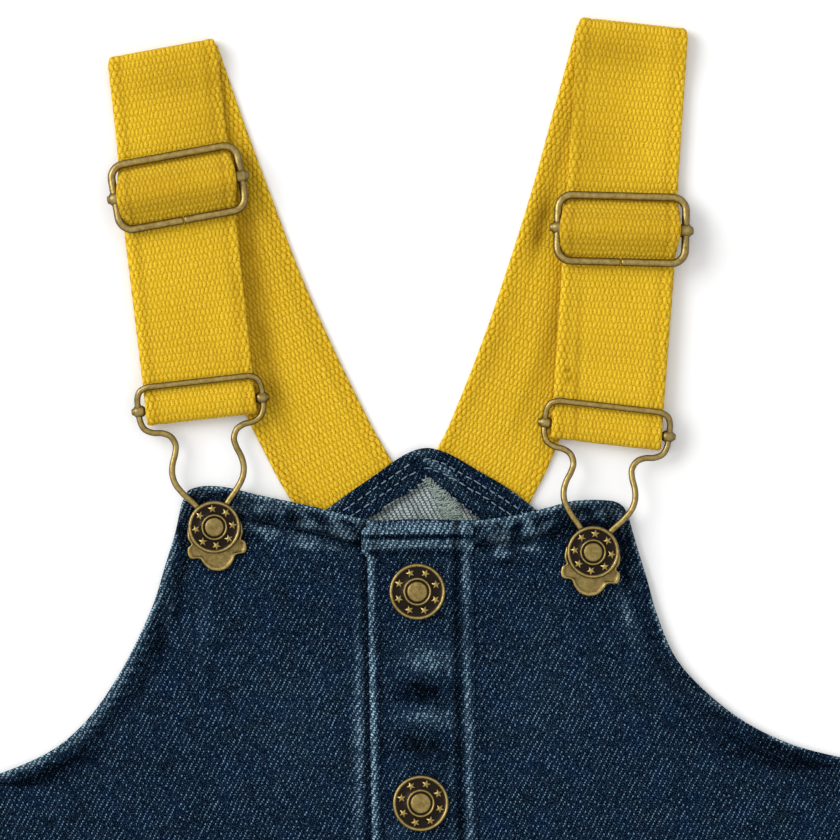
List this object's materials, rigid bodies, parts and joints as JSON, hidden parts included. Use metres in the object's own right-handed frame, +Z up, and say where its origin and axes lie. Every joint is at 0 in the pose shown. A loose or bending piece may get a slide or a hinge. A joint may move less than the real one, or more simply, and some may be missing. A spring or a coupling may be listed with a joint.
{
  "type": "child's dungarees",
  "caption": "Child's denim dungarees lying flat with the front up: bib with a buttoned placket, long legs, and webbing braces with wire sliders and bib clips",
  "frame": {"origin": "the middle of the bounding box's footprint, on the surface the garment lies on", "axes": "+Y from the leg hems to the braces along the garment's length, +Z up out of the front from the surface, +X to the right as seen from above with the braces at the top"},
  "size_m": [0.3, 0.7357, 0.0109],
  "materials": {
    "denim": "indigo twill, washed, paler on the worn folds of the hems",
    "webbing": "yellow ribbed cotton webbing, matte",
    "antique_brass": "antique plating, dark in the recesses, satin on the raised faces"
  },
  "bodies": {
    "root": {"front_left": "denim", "front_right": "denim", "placket": "denim", "back_left": "denim", "back_right": "denim", "brace_left": "webbing", "brace_right": "webbing", "slider_left": "antique_brass", "slider_right": "antique_brass", "slider_bar_left": "antique_brass", "slider_bar_right": "antique_brass", "clip_left": "antique_brass", "clip_right": "antique_brass", "clip_bar_left": "antique_brass", "clip_bar_right": "antique_brass", "clip_plate_left": "antique_brass", "clip_plate_right": "antique_brass", "clip_button_left": "antique_brass", "clip_button_right": "antique_brass", "placket_button_1": "antique_brass", "placket_button_2": "antique_brass", "placket_button_3": "antique_brass"}
  },
  "joints": []
}
